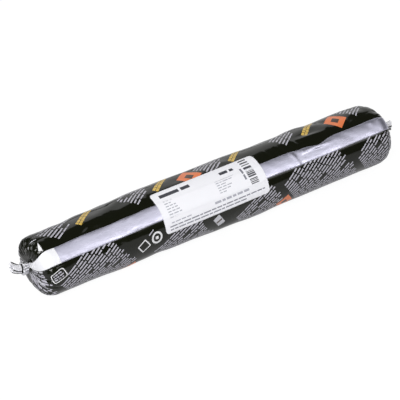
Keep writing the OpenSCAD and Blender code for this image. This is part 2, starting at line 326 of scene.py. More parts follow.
def film(place, cell, lift=0.0):
    """Points of the film at a place along the skin and a cell round it."""
    place, cell = np.broadcast_arrays(np.asarray(place, float), np.asarray(cell, float))
    r = ring(place)
    angle = angle_at(cell, r)
    out = 1 - r["share"] * pleat_strength(cell, r["x"]) * (1 - crest(cell))
    out = out + np.minimum(0.14, 1.4 / r["high"]) * fine_folds(cell, r)
    return place_points(r, angle, out, wrinkle(r["x"], angle), lift)


# Cells and their directions where the plain body ends, by side, to find a cell from a direction
PLAIN_CELLS = np.linspace(0, RING_CELLS, 1500)
EDGE_ANGLES = {s: angle_at(PLAIN_CELLS, ring(np.full_like(PLAIN_CELLS, s * PLAIN))) for s in (-1, 1)}


def skin(place, angle, lift=0.0):
    """Points of the film at a place along the skin and a direction that holds for the plain body."""
    place, angle = np.broadcast_arrays(np.asarray(place, float), np.asarray(angle, float))
    r = ring(place)
    plain = place_points(r, angle, 1.0, wrinkle(r["x"], angle), lift)
    if np.all(np.abs(place) <= PLAIN):
        return plain
    side = -1 if place.flat[0] < 0 else 1
    first = EDGE_ANGLES[side][0]
    turned = (angle - first) % 360 + first
    cell = np.interp(turned, EDGE_ANGLES[side], PLAIN_CELLS)
    mixed = film(place, cell, lift)
    return np.where((np.abs(place) <= PLAIN)[..., None], plain, mixed)


def film_angle(down):
    """Direction of a point of the film, by its distance down from the strip's lower edge."""
    return STRIP_LOW - down * PER_MM


# Meshes

def make_object(name, points, faces, materials, slots=None):
    """A smooth-shaded object from points in millimetres."""
    mesh = bpy.data.meshes.new(name)
    mesh.from_pydata((np.asarray(points) * MM).tolist(), [], faces)
    for material in materials:
        mesh.materials.append(material)
    if slots is not None:
        mesh.polygons.foreach_set("material_index", slots)
    mesh.polygons.foreach_set("use_smooth", [True] * len(mesh.polygons))
    mesh.update()
    thing = bpy.data.objects.new(name, mesh)
    bpy.context.scene.collection.objects.link(thing)
    return thing


def grid_faces(rows, cols, start=0, closed=False):
    """Quads of a grid of points, with its columns closed into rings if asked."""
    i = np.arange(rows - 1)[:, None]
    j = np.arange(cols if closed else cols - 1)[None, :]
    a = i * cols + j
    b = i * cols + (j + 1) % cols
    quads = np.stack([a, b, b + cols, a + cols], -1).reshape(-1, 4) + start
    return quads.tolist()


def sheet_mesh(under, over):
    """Points and faces of a closed thin sheet between two grids of points."""
    rows, cols = over.shape[:2]
    size = rows * cols
    top = grid_faces(rows, cols)
    bottom = [[q[3] + size, q[2] + size, q[1] + size, q[0] + size] for q in top]
    rim = list(range(cols - 1))
    rim += [i * cols + cols - 1 for i in range(rows - 1)]
    rim += [(rows - 1) * cols + j for j in range(cols - 1, 0, -1)]
    rim += [i * cols for i in range(rows - 1, 0, -1)]
    walls = [[a, a + size, b + size, b] for a, b in zip(rim, rim[1:] + rim[:1])]
    points = np.concatenate([over.reshape(-1, 3), under.reshape(-1, 3)])
    return points, top + bottom + walls


def skin_places():
    """Places along the skin, from one neck to the other: dense over the domes."""
    dome = SHOULDER + DOME_PATH * np.linspace(0, 1, 37)
    half = np.concatenate([np.arange(0, PLAIN, 1.25), np.linspace(PLAIN, SHOULDER, 19)[:-1], dome])
    return np.concatenate([-half[:0:-1], half])


# Materials

def srgb(code):
    """A hex colour as the linear colour that a shader takes."""
    parts = [int(code[i : i + 2], 16) / 255 for i in (1, 3, 5)]
    return [p / 12.92 if p <= 0.04045 else ((p + 0.055) / 1.055) ** 2.4 for p in parts] + [1.0]


def add(tree, kind, inputs=None, **settings):
    """Adds one node with its settings, and sets or links its inputs."""
    made = tree.nodes.new(kind)
    for key, value in settings.items():
        setattr(made, key, value)
    for key, value in (inputs or {}).items():
        if isinstance(value, bpy.types.NodeSocket):
            tree.links.new(value, made.inputs[key])
        else:
            made.inputs[key].default_value = value
    return made


def new_material(name, colour, roughness, **inputs):
    """A material, its node tree and its one surface shader."""
    material = bpy.data.materials.new(name)
    material.use_nodes = True
    material.diffuse_color = colour
    tree = material.node_tree
    shader = tree.nodes["Principled BSDF"]
    shader.inputs["Base Color"].default_value = colour
    shader.inputs["Roughness"].default_value = roughness
    for key, value in inputs.items():
        shader.inputs[key.replace("_", " ")].default_value = value
    return material, tree, shader


def pattern(tree, size, detail, along=1.0):
    """An uneven pattern of a real size in millimetres, drawn out along the pack where along is below 1."""
    place = add(tree, "ShaderNodeTexCoord")
    drawn = add(tree, "ShaderNodeMapping", {"Vector": place.outputs["Object"], "Scale": (along, 1.0, 1.0)})
    noise = {"Vector": drawn.outputs["Vector"], "Scale": 1 / (size * MM), "Detail": detail}
    return add(tree, "ShaderNodeTexNoise", noise).outputs["Fac"]


def finish(tree, shader, height, depth, strength, gloss=None, spread=(0.0, 0.0)):
    """Raises a surface by a pattern, by a depth in millimetres, and lets its roughness follow one."""
    bump = add(tree, "ShaderNodeBump", {"Height": height, "Distance": depth * MM, "Strength": strength})
    tree.links.new(bump.outputs["Normal"], shader.inputs["Normal"])
    if gloss is not None:
        span = {"Value": gloss, "From Min": 0.3, "From Max": 0.7, "To Min": spread[0], "To Max": spread[1]}
        rough = add(tree, "ShaderNodeMapRange", span)
        tree.links.new(rough.outputs["Result"], shader.inputs["Roughness"])


def film_material(colour):
    """Gravure-printed foil laminate: a clear glossy outer web over the ink.
    The bump is the film's own crazing over the paste, which breaks the sheen into soft patches."""
    material, tree, shader = new_material("printed_film_laminate", colour, 0.09, Specular_IOR_Level=0.38)
    broad, fine = pattern(tree, 9.0, 3.0), pattern(tree, 1.9, 2.0)
    both = add(tree, "ShaderNodeMath", {0: fine, 1: 0.18, 2: broad}, operation="MULTIPLY_ADD")
    finish(tree, shader, both.outputs["Value"], 0.2, 0.3, broad, (0.06, 0.14))
    return material


def foil_material(colour):
    """Unprinted aluminium laminate, heat-sealed: satin silver with faint draw lines along the tube.
    The streaks stretch its reflections along the pack, as rolled foil does."""
    material, tree, shader = new_material("sealed_foil_laminate", colour, 0.38, Metallic=0.9)
    streak, patch = pattern(tree, 1.6, 3.0, 0.12), pattern(tree, 10.5, 2.0)
    both = add(tree, "ShaderNodeMath", {0: streak, 1: 0.25, 2: patch}, operation="MULTIPLY_ADD")
    finish(tree, shader, both.outputs["Value"], 0.3, 0.5, streak, (0.26, 0.42))
    return material


def pale_highlight_foil_material(name, roughness):
    """Foil laminate where it lies over a dome or is cut, with a fine crazed bump:
    painted pale and dull, a painted highlight that stands for the silver foil's bright reflection."""
    material, tree, shader = new_material(name, srgb("#f6f6fa"), roughness, Metallic=0.2)
    finish(tree, shader, pattern(tree, 1.1, 3.0, 0.2), 0.3, 0.4)
    return material


def paper_material(colour):
    """Coated label paper: near white and half glossy, with a faint fibre mottle
    that keeps it from looking like plastic. It is coarser than real fibres, so that it shows."""
    material, tree, shader = new_material("coated_label_paper", colour, 0.42)
    finish(tree, shader, pattern(tree, 1.1, 4.0), 0.04, 0.3)
    return material


def ink_material(name, colour, roughness):
    """Ink on the film or the label: flat colour with the sheen of the web that it is printed on."""
    return new_material(name, colour, roughness)[0]


def clip_material():
    """Drawn aluminium strip, bent cold: bright metal with fine lines along its width,
    whose roughness follows the lines. The lines are drawn coarser than real ones, so that they show."""
    material, tree, shader = new_material("drawn_aluminium_strip", srgb("#dcdce0"), 0.3, Metallic=1.0)
    lines = pattern(tree, 0.55, 3.0, 0.15)
    finish(tree, shader, lines, 0.08, 0.4, lines, (0.22, 0.4))
    return material


# Print

class Print:
    """Gathers thin printed shapes that follow the skin, to become one object."""

    def __init__(self, surface):
        self.surface = surface
        self.points = []
        self.faces = []
        self.slots = []
        self.count = 0

    def patch(self, along, across, slot):
        """One shape: grids of surface coordinates, (rows, columns)."""
        pts = self.surface(along, across)
        rows, cols = pts.shape[:2]
        self.points.append(pts.reshape(-1, 3))
        faces = grid_faces(rows, cols, self.count)
        self.faces += faces
        self.slots += [slot] * len(faces)
        self.count += rows * cols

    def bar(self, u, v, length, height, turn, slot, step=2.0):
        """A bar that starts at (u, v), runs for its length at the angle turn, and is centred on that line."""
        c, s = math.cos(math.radians(turn)), math.sin(math.radians(turn))
        n = max(2, int(math.ceil(length / step)) + 1)
        k = max(2, int(math.ceil(height / step)) + 1)
        a, b = np.meshgrid(np.linspace(0, length, n), np.linspace(-height / 2, height / 2, k), indexing="ij")
        self.patch(u + a * c - b * s, v + a * s + b * c, slot)

    def outline(self, corners, width, slot, step=1.5):
        """A closed outline through corner points, drawn inwards by its width."""
        corners = np.asarray(corners, float)
        middle = corners.mean(0)
        reach = np.linalg.norm(corners - middle, axis=1)
        inner = middle + (corners - middle) * (1 - width / reach)[:, None]
        for i in range(len(corners)):
            a, b = corners[i], corners[(i + 1) % len(corners)]
            c, d = inner[i], inner[(i + 1) % len(corners)]
            n = max(2, int(math.ceil(np.linalg.norm(b - a) / step)) + 1)
            t = np.linspace(0, 1, n)[:, None]
            edge, core = a + (b - a) * t, c + (d - c) * t
            self.patch(np.stack([edge[:, 0], core[:, 0]], 1), np.stack([edge[:, 1], core[:, 1]], 1), slot)


def rounded(u, v, length, height, radius, turn, steps=5):
    """Corner points of a rounded rectangle round (u, v)."""
    points = []
    for number, (a, b) in enumerate(((1, 1), (-1, 1), (-1, -1), (1, -1))):
        p, q = a * (length / 2 - radius), b * (height / 2 - radius)
        for i in range(steps + 1):
            t = math.radians(90 * number + 90 * i / steps)
            points.append((p + radius * math.cos(t), q + radius * math.sin(t)))
    c, s = math.cos(math.radians(turn)), math.sin(math.radians(turn))
    return [(u + p * c - q * s, v + p * s + q * c) for p, q in points]


def words(rng, length, shortest, longest, space):
    """Start and length of each word of a line, broken at random places that the seed fixes."""
    at, out = 0.0, []
    while at < length - shortest:
        run = min(float(rng.uniform(shortest, longest)), length - at)
        out.append((at, run))
        at += run + space
    return out


# The film's inks, by their slots
PALE, YELLOW, ORANGE, WHITE, SILVER, DARK = range(6)
# Columns of lines, along and across the lines: left and right edge, first line
COLUMNS = (
    (-246.0, -198.0, -170.0),
    (-192.0, -141.5, -126.0),
    (-135.7, -84.2, -76.5),
    (-72.0, -28.2, -21.0),
    (-10.0, 28.5, 20.4),
    (34.3, 88.7, 35.8),
    (93.5, 146.0, 78.5),
    (152.0, 200.0, 122.0),
)
# Groups of lines above the strip: place of each tip and height over the strip, then start and length of a row
TOP_GROUPS = ((-142.5, 5.4), (-74.2, 6.0), (-4.2, 8.0), (65.8, 8.6), (138.8, 10.4))
GROUP_ROWS = ((0.0, 18.0), (0.4, 23.0), (-0.3, 28.0), (0.6, 31.0), (0.0, 33.0), (-0.6, 33.0), (0.3, 30.0))
# Headings and lozenges: above the strip by their height over it, elsewhere by their distance down
TOP_HEADINGS = ((-123.3, 10.2), (-54.2, 12.2), (16.3, 13.6), (86.2, 11.5))
TOP_LOZENGES = ((-22.0, 14.4), (120.3, 14.4))
HEADINGS = ((-60.0, 74.0), (30.0, 96.0), (100.0, 62.0), (-132.0, 66.0), (-30.0, 112.0))
LOZENGES = ((52.0, 28.0), (-88.0, 37.0), (-10.0, 68.0), (96.0, 84.0), (-104.0, 96.0))
# The rounded plate's middle and turn
PLATE_X, PLATE_DOWN, PLATE_TURN = -154.0, 9.6, -20.0


class FilmPrint(Print):
    """The film's print, placed in millimetres along the pack and down from the strip's lower edge."""

    def __init__(self, settings):
        super().__init__(self.on_film)
        self.lift = settings.lift / MM
        self.pitch = settings.line_pitch / MM
        self.height = settings.line_height / MM
        self.slant = math.degrees(settings.slant)
        self.c, self.n = math.cos(settings.slant), math.sin(settings.slant)
        self.rng = np.random.default_rng(settings.seed)
        self.keep_out = []

    def on_film(self, x, down):
        """Points just above the film, and a little higher where the pleats bend it."""
        return skin(x, film_angle(down), np.where(np.abs(x) > PLAIN, 2.2 * self.lift, self.lift))

    def place(self, p, q):
        """From along and across the lines to along and down the film."""
        return p * self.c + q * self.n, -p * self.n + q * self.c

    def slanted(self, x, down):
        """From along and down the film to along and across the lines."""
        return x * self.c - down * self.n, x * self.n + down * self.c

    def keep(self, x, down, along, across):
        """Keeps the lines out of a field round a point, turned as they are."""
        p, q = self.slanted(x, down)
        self.keep_out.append((p - along / 2, p + along / 2, q - across / 2, q + across / 2))

    def clear(self, x, down):
        """Whether a line may be printed there: off the strip, the label, the resting flat and kept fields."""
        if not -1.2 < down < FILM_W + 1.2 or abs(x) > SHOULDER + DOME_PATH - 1.5:
            return False
        if x < GATHERED_X and down < GATHERED_DOWN:
            return False
        angle = film_angle(down)
        if skin(max(-PLAIN, min(PLAIN, x)), angle)[2] < 0.25:
            return False
        turned = (angle - LABEL_TURN + 180) % 360 - 180
        if abs(x - LABEL_X) < LABEL_LEN / 2 - 3 and abs(turned) / PER_MM < LABEL_W / 2 - 3:
            return False
        p, q = self.slanted(x, down)
        return not any(a < p < b and d < q < e for a, b, d, e in self.keep_out)

    def line(self, x, down, length, shortest, longest):
        """One printed line up to the right, broken into words, a few of which are left out."""
        for at, run in words(self.rng, length, shortest, longest, 0.9):
            middle = x + (at + run / 2) * self.c, down - (at + run / 2) * self.n
            if self.rng.random() > 0.05 and self.clear(*middle):
                near_end = max(abs(x + at * self.c), abs(x + (at + run) * self.c)) > PLAIN
                start = x + at * self.c, down - at * self.n
                self.bar(*start, run, self.height, -self.slant, PALE, 0.45 if near_end else 2.0)

    def lozenge(self, x, down, half):
        """A plain lozenge with a smaller plain one in it."""
        side, turn = half * math.sqrt(2), math.radians(-36)
        for size, slot, up in ((side, ORANGE, 0.0), (side * 0.38, DARK, 0.02)):
            self.surface = lambda a, b, up=up: skin(a, film_angle(b), self.lift + up)
            k = np.linspace(-size / 2, size / 2, 13)
            a, b = np.meshgrid(k, k, indexing="ij")
            along = x + a * math.cos(turn) - b * math.sin(turn)
            self.patch(along, down + a * math.sin(turn) + b * math.cos(turn), slot)
        self.surface = self.on_film
        self.keep(x, down, side + 3, side + 3)

    def heading(self, x, down, length, thick):
        """A yellow heading made of two rows of plain bars, a little steeper than the lines."""
        turn = self.slant + 5
        c, n = math.cos(math.radians(turn)), math.sin(math.radians(turn))
        for off in (-0.27 * thick, 0.27 * thick):
            for at, run in words(self.rng, length, 1.8, 6.5, 0.5):
                start = x + at * c + off * n, down - at * n + off * c
                self.bar(*start, run, thick * 0.46, -turn, YELLOW, 1.2)
        self.keep(x + length / 2 * self.c, down - length / 2 * self.n, length + 2, thick + 2)

    def fields(self):
        """The headings, the lozenges and the fields left dark round the plate and the small pale field."""
        for x, up in TOP_HEADINGS:
            self.heading(x, FILM_W - up, 25.0, 4.6)
        for x, up in TOP_LOZENGES:
            self.lozenge(x, FILM_W - up, 10.6)
        for x, down in LOZENGES:
            self.lozenge(x, down, 8.6)
        for x, down in HEADINGS:
            self.heading(x, down, 26.0, 4.0)
        self.keep(PLATE_X, 9.3, 16.0, 13.0)
        self.keep(-13.0, 18.3, 9.0, 14.0)

    def columns(self):
        """Columns of lines with dark gutters, broken round the pack by dark gaps."""
        for left, right, first in COLUMNS:
            longest = 3.2 if left > SHOULDER - 1 else 9.0
            q = first + self.height / 2
            block_end = q + float(self.rng.uniform(66, 90))
            while q < first + 230:
                x, down = self.place(left, q)
                if down < FILM_W - 26:
                    length = right - left - float(self.rng.uniform(0, 2.5))
                    self.line(x, down, length, 0.27 * longest, longest)
                q += self.pitch
                if q > block_end:
                    q += float(self.rng.uniform(9, 15))
                    block_end = q + float(self.rng.uniform(45, 75))

    def top_groups(self):
        """Short groups of lines above the strip, which run up over the top."""
        for x0, up in TOP_GROUPS:
            p, q = self.slanted(x0, FILM_W - up)
            for row, (start, length) in enumerate(GROUP_ROWS):
                x, down = self.place(p + start, q - row * self.pitch)
                self.line(x, down, length, 3.5, 12.0)

    def gathered_lines(self):
        """Lines drawn together towards the left neck by the gathering."""
        for row, down in enumerate(np.arange(3.5, GATHERED_DOWN - 1, 3.0)):
            start = -SHOULDER - DOME_PATH + 1.0 + 2.2 * (row % 2)
            end = GATHERED_X - 1.5 if down > 16 else PLATE_X - 11
            for at, run in words(self.rng, end - start, 2.0, 7.0, 1.1):
                if self.rng.random() > 0.12:
                    self.bar(start + at, down - 0.12 * at, run, 1.75, -7, PALE if row % 3 else SILVER, 0.45)

    def painted_glints(self):
        """Painted glints over the left dome: a pale triangle and a thin silver line where a crease catches
        the light.
        """
        u, v = np.meshgrid(np.linspace(0.08, 1, 8), np.linspace(0, 1, 6), indexing="ij")
        self.patch(-155.6 + u * (-5.2 + 4.0 * v), FILM_W - 10.5 + u * (6.5 + 2.5 * v), WHITE)
        self.bar(-167.2, FILM_W - 17.5, 13.2, 0.6, 15, SILVER, 0.8)

    def marks(self):
        """The outlined shapes: a rounded plate with short rows, a ring, a square and a small pale field."""
        self.outline(rounded(PLATE_X, PLATE_DOWN, 13.0, 9.0, 2.0, PLATE_TURN), 0.9, WHITE, 0.8)
        c, n = math.cos(math.radians(PLATE_TURN)), math.sin(math.radians(PLATE_TURN))
        for v in (-2.2, 0.0, 2.2):
            for at, run in words(self.rng, 8.6, 1.4, 3.4, 0.7):
                u = at - 4.3
                start = PLATE_X + u * c - v * n, PLATE_DOWN + u * n + v * c
                self.bar(*start, run, 1.1, PLATE_TURN, PALE, 0.8)
        turns = np.linspace(0, 2 * math.pi, 33)[:-1]
        self.outline([(-69.8 + 4.6 * math.cos(t), 11.0 + 4.9 * math.sin(t)) for t in turns], 1.5, WHITE)
        self.bar(-71.0, 11.0, 2.4, 2.4, 0, WHITE)
        self.outline(rounded(-81.0, 14.2, 8.4, 8.4, 0.8, -self.slant), 1.2, WHITE)
        self.bar(-76.3, 7.0, 5.5, 0.9, -self.slant, PALE)
        self.bar(-16.2, 13.8, 11.0, 6.2, 90 - self.slant, SILVER)
        self.surface = lambda a, b: skin(a, film_angle(b), 1.8 * self.lift)
        self.bar(-15.1, 20.0, 5.2, 1.6, -self.slant, DARK)


def own(piece, node):
    """Ties a piece to the CAD: it rides on the pack and may stand for a node, whose CAD part it hides."""
    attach(piece, "root")
    if node:
        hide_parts(node)


# Settings

def colour_setting(name, description, code):
    """A colour that a user may change, from its hex value."""
    return FloatVectorProperty(
        name=name, description=description, default=srgb(code), size=4, min=0, max=1, subtype="COLOR"
    )


class FilmSettings(PropertyGroup):
    film_colour: colour_setting("Film colour", "Ground colour of the printed film", "#101207")
    foil_colour: colour_setting("Foil colour", "Colour of the sealing strip", "#cccbdd")
    cells: IntProperty(
        name="Cells per pleat", description="Mesh cells round one pleat", default=15, min=6, max=30
    )
    strip_cells: IntProperty(
        name="Strip cells", description="Mesh cells of the film under the strip", default=20, min=8, max=48
    )
    tail_ruffle: FloatProperty(
        name="Tail ruffle",
        description="How unevenly the tail's edge is cut and spread",
        default=0.0011,
        unit="LENGTH",
    )


class PrintSettings(PropertyGroup):
    line_colour: colour_setting("Line colour", "Ink of the slanting lines", "#bbb9c3")
    heading_colour: colour_setting("Heading colour", "Ink of the headings", "#dcb955")
    lozenge_colour: colour_setting("Lozenge colour", "Ink of the lozenges", "#ec7f48")
    seed: IntProperty(name="Seed", description="Fixes where the printed lines break", default=11, min=0)
    line_pitch: FloatProperty(
        name="Line pitch", description="Distance between printed lines", default=0.00265, unit="LENGTH"
    )
    line_height: FloatProperty(
        name="Line height", description="Height of a printed line", default=0.00115, unit="LENGTH"
    )
    slant: FloatProperty(
        name="Slant",
        description="Rise of the printed lines round the pack",
        default=math.radians(35.5),
        subtype="ANGLE",
    )
    lift: FloatProperty(
        name="Lift", description="Height of the ink above the film", default=0.00003, unit="LENGTH"
    )


class LabelSettings(PropertyGroup):
    paper_colour: colour_setting("Paper colour", "Colour of the label's paper", "#f5f5fa")
    show_print: BoolProperty(
        name="Printed bars", description="Whether the label has its bars and stripes", default=True
    )
    edge_curl: FloatProperty(
        name="Edge curl",
        description="How far the label's lower right corner stands off",
        default=0.00025,
        unit="LENGTH",
    )


class StudioSettings(PropertyGroup):
    azimuth: FloatProperty(
        name="Azimuth",
        description="Camera direction round the pack",
        default=math.radians(-36.94),
        subtype="ANGLE",
    )
    elevation: FloatProperty(
        name="Elevation", description="Camera height angle", default=math.radians(31.78), subtype="ANGLE"
    )
    distance: FloatProperty(
        name="Distance", description="From the camera to the point it looks at", default=1.4, unit="LENGTH"
    )
    look_at: FloatVectorProperty(
        name="Look at",
        description="The point that the camera looks at",
        default=(-0.0124, 0.0, 0.02455),
        subtype="XYZ",
    )
    lens: FloatProperty(name="Lens", description="Focal length in millimetres", default=167.2)


# Operators

# Seeds of the left and the right tail's ragged cut
TAIL_SEEDS = {-1: 5, 1: 9}


class SAUSAGE_OT_casing(Operator):
    """Add the filled film tube with its wrinkles, pleated ends and film tails"""

    bl_idname = "sausage.casing"
    bl_label = "Add Casing"

    def execute(self, context):
        s = context.scene.sausage_film
        cells = np.concatenate(
            [
                np.linspace(0, STRIP_CELLS, s.strip_cells + 1)[:-1],
                np.linspace(STRIP_CELLS, RING_CELLS, PLEATS * s.cells + 1)[:-1],
            ]
        )
        places = skin_places()
        end = SHOULDER + DOME_PATH + NECK_PATH
        neck = SHOULDER + DOME_PATH + NECK_PATH * np.linspace(0, 1, 7)[1:]
        rows, kinds = [], []
        for side in (-1, 1):
            rng = np.random.default_rng(TAIL_SEEDS[side])
            phase = rng.uniform(0, 6.28, 4)
            tail_len = LEFT_TAIL if side < 0 else RIGHT_TAIL
            tail = end + tail_len * np.linspace(0, 1, 13)[1:]
            hollow = end + tail_len * np.linspace(1, 0.25, 8)
            outer = film(side * np.concatenate([neck, tail])[:, None], cells[None, :])
            inner = film(side * hollow[:, None], cells[None, :])
            spread = np.linspace(0, 1, len(hollow))[:, None]
            middle = np.stack([0 * hollow, ring(side * hollow)["z"]], -1)[:, None, :]
            inner[..., 1:] = middle + (inner[..., 1:] - middle) * (0.86 - 0.62 * spread)[..., None]
            around = 2 * math.pi * cells / RING_CELLS
            ragged = sum(np.sin((2 * k + 3) * around + phase[k]) for k in range(4)) / 4
            for grid, reach in (
                (outer, np.concatenate([0 * neck, np.linspace(0, 1, 13)[1:]])),
                (inner, np.linspace(1, 0.25, 8)),
            ):
                push = reach[:, None] * ragged[None, :] * s.tail_ruffle / MM * tail_len / LEFT_TAIL
                grid[..., 0] += side * push
                grid[..., 2] += 0.7 * push * np.cos(cells / 9)[None, :]
            tip = np.repeat(inner[-1].mean(0)[None, None], len(cells), 1)
            rows.append(np.concatenate([outer, inner, tip]))
            kinds.append(np.concatenate([np.zeros(len(outer)), np.ones(len(inner) + 1)]))
        body = film(places[:, None], cells[None, :])
        grid = np.concatenate([rows[0][::-1], body, rows[1]])
        inside = np.concatenate([kinds[0][::-1], np.zeros(len(body)), kinds[1]])
        count, width = grid.shape[:2]
        faces = grid_faces(count, width, closed=True)
        pleat = np.floor((cells - STRIP_CELLS) / PLEAT_CELLS)
        # The tail's folds and inside take the pale foil finish: a painted highlight of the silver laminate
        pale_highlight_fold = (np.sin(pleat * 2.9 + 1.0) > -0.5) | (cells <= STRIP_CELLS)
        from_dome = [np.arange(len(rows[0]))[::-1], 0 * places, np.arange(len(rows[1]))]
        beyond = np.concatenate(from_dome) > len(neck)
        slots = np.zeros((count - 1, width), int)
        slots[beyond[:-1] | beyond[1:]] = np.where(pale_highlight_fold, 1, 0)[None, :]
        slots[(inside[:-1] + inside[1:]) > 0] = 1
        thing = make_object(
            "casing_film",
            grid.reshape(-1, 3),
            faces,
            [film_material(s.film_colour), pale_highlight_foil_material("tail_foil_painted_highlight", 0.45)],
            slots.reshape(-1).tolist(),
        )
        own(thing, "casing")
        return {"FINISHED"}


# Dents of the sealing strip: height, place, half length, distance from its middle line, half width
STRIP_DENTS = (
    (0.62, 87, 13, 2.4, 1.8),
    (-0.30, 86, 14, -0.4, 1.9),
    (0.22, -88, 2.2, 4.5, 2.2),
    (0.16, -112, 2.6, 3.0, 3.0),
    (0.24, 146, 3.0, 3.6, 3.0),
)


class SAUSAGE_OT_strip(Operator):
    """Add the silver sealing strip, with the waves of its heat seal"""

    bl_idname = "sausage.strip"
    bl_label = "Add Sealing Strip"

    def execute(self, context):
        cells = np.linspace(0, STRIP_CELLS, 29)
        end = SHOULDER + DOME_PATH + NECK_LEN - 0.3
        places = np.concatenate([[-end], skin_places(), [end]])
        p, c = np.meshgrid(places, cells, indexing="ij")
        open_share = ring(p)["open"]
        # The film's fold laps over the strip's upper edge, and the strip drifts up a little to the right
        lap = 2.6 * np.exp(-(((p - 90) / 11) ** 2)) + 0.5 * np.exp(-(((p - 72) / 5) ** 2))
        lap += (0.16 * np.sin(p / 4.7 + 1.3 * np.sin(p / 13)) + 0.16) * open_share
        drift = (1.0 * ease((p + 60) / 100) + 0.6 * ease((p - 60) / 90)) * open_share
        low = 0.1 * np.sin(p / 6.1 + 0.7) * open_share
        across = -STRIP_W / 2 + low + c / STRIP_CELLS * (STRIP_W - lap - low)
        edge = ease(np.minimum(across + STRIP_W / 2 - low, STRIP_W / 2 - lap - across) / 0.5)
        bump = 0.05 * np.sin(p / 3.1 + 0.9 * np.sin(across / 2)) * np.sin(p / 23.0 + across / 5)
        wave = 0.09 - 0.04 * ease((p - 90) / 30)
        bump += wave * np.sin(p / 6.7 + across / 3.1 + 1.2 * np.sin(p / 19.0))
        bump += 0.03 * np.sin(p / 2.3 + 0.4 * across) * np.sin(p / 11.0 + across / 2.3)
        # The kink right of the label, a crease across the strip over the left shoulder, and single dents
        kink = 0.42 * np.exp(-(((p - 65 + 0.25 * across) / 1.5) ** 2)) * (0.6 + 0.4 * np.sin(across / 2))
        kink -= 0.26 * np.exp(-(((p - 69 + 0.25 * across) / 1.9) ** 2))
        kink += 0.30 * np.exp(-(((p - 73 - 0.3 * across) / 1.6) ** 2)) * ease((across + 1) / 4)
        bump += kink - 0.14 * np.exp(-(((p + 143) / 1.4) ** 2))
        for height, at, reach, off, width in STRIP_DENTS:
            bump += height * np.exp(-(((p - at) / reach) ** 2) - ((across - off) / width) ** 2)
        off_label = ease((np.abs(p - LABEL_X) - LABEL_LEN / 2 - 0.5) / 6)
        bump *= off_label * ease((SHOULDER + 8 - np.abs(p)) / 14)
        shifted = (across + drift) / STRIP_W * STRIP_CELLS + STRIP_CELLS / 2
        lift = STRIP_T * (0.35 + 0.65 * edge) + np.maximum(bump, -0.12) * (0.4 + 0.6 * edge)
        over = film(p, shifted, lift)
        under = film(p, shifted, 0.0)
        points, faces = sheet_mesh(under, over)
        # The left end, over the dome, is painted white up to a sharp line across the strip: a painted
        # highlight of the foil
        highlight_faces = (places[:-1] < PAINTED_HIGHLIGHT_X).repeat(len(cells) - 1).astype(int).tolist()
        highlight_faces += [0] * (len(faces) - len(highlight_faces))
        colour = context.scene.sausage_film.foil_colour
        finishes = [foil_material(colour), pale_highlight_foil_material("strip_end_painted_highlight", 0.5)]
        thing = make_object("sealing_strip", points, faces, finishes, highlight_faces)
        own(thing, "seam_strip")
        return {"FINISHED"}


def label_point(u, v, lift):
    """Points of the label's surface: u along it and v up it from its middle, in millimetres."""
    tilt = math.tan(math.radians(LABEL_TILT))
    rise = v + u * tilt
    angle = LABEL_TURN + rise * PER_MM
    x = LABEL_X + u - rise * tilt
    off = np.abs(angle - STRIP_TURN) / PER_MM - STRIP_W / 2
    step = STRIP_T * (1 - ease((off + 0.1) / 0.9))
    return skin(x, angle, LABEL_GLUE + step + lift)


